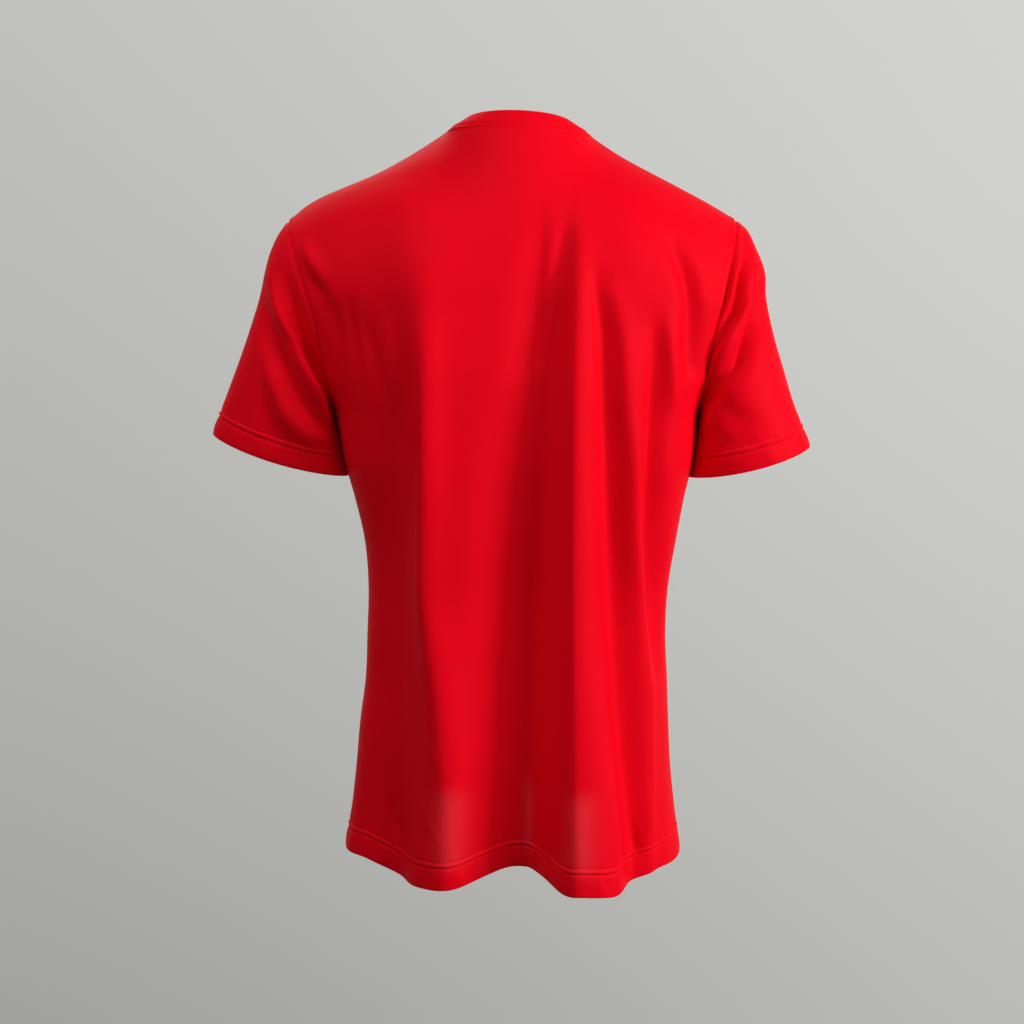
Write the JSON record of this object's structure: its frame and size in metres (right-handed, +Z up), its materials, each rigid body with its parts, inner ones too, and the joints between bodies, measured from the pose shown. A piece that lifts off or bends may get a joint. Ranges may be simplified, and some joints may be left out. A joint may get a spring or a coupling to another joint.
{
  "type": "football jersey",
  "caption": "Plain short-sleeved football jersey with a crew neck band and turned-up hems, standing open in the hollow form it has when worn.",
  "frame": {"origin": "midway between the two neck points, where the shoulders of the wearer hold the jersey up", "axes": "+Z up along the length of the body, +X to the wearer's left along the shoulders, +Y out of the back"},
  "size_m": [0.598, 0.2654, 0.7442],
  "materials": {
    "jersey_knit": "smooth polyester knit with a soft sheen",
    "band_knit": "doubled polyester knit, slightly duller"
  },
  "bodies": {
    "root": {"back_panel": "jersey_knit", "front_panel": "jersey_knit", "sleeve_left": "jersey_knit", "sleeve_right": "jersey_knit", "neck_band": "band_knit"}
  },
  "joints": []
}
